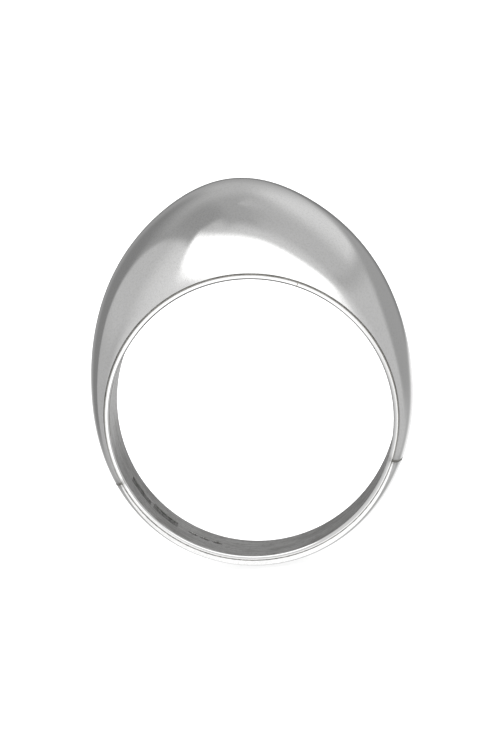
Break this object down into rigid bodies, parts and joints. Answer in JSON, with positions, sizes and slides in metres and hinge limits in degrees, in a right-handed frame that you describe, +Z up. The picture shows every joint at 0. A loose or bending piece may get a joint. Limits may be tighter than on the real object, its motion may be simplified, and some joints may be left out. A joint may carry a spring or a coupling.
{
  "type": "dome ring",
  "caption": "Plain polished silver dome ring: a tall hollow dome over a smooth finger liner, on a tapering half-round shank.",
  "frame": {"origin": "centre of the finger hole, half way along the finger", "axes": "+Y along the finger hole, +Z up through the crown of the dome, +X to the right for someone looking along +Y"},
  "size_m": [0.0198, 0.0096, 0.0239],
  "materials": {
    "polished_silver": "polished",
    "satin_silver": "satin",
    "silver_solder": "satin"
  },
  "bodies": {
    "root": {"finger_liner": "satin_silver", "liner_joint_solder": "silver_solder", "dome_shell": "polished_silver", "front_seam_solder": "silver_solder", "back_seam_solder": "silver_solder", "shank": "polished_silver", "shank_solder": "silver_solder", "right_shoulder_solder": "silver_solder", "left_shoulder_solder": "silver_solder"}
  },
  "joints": []
}
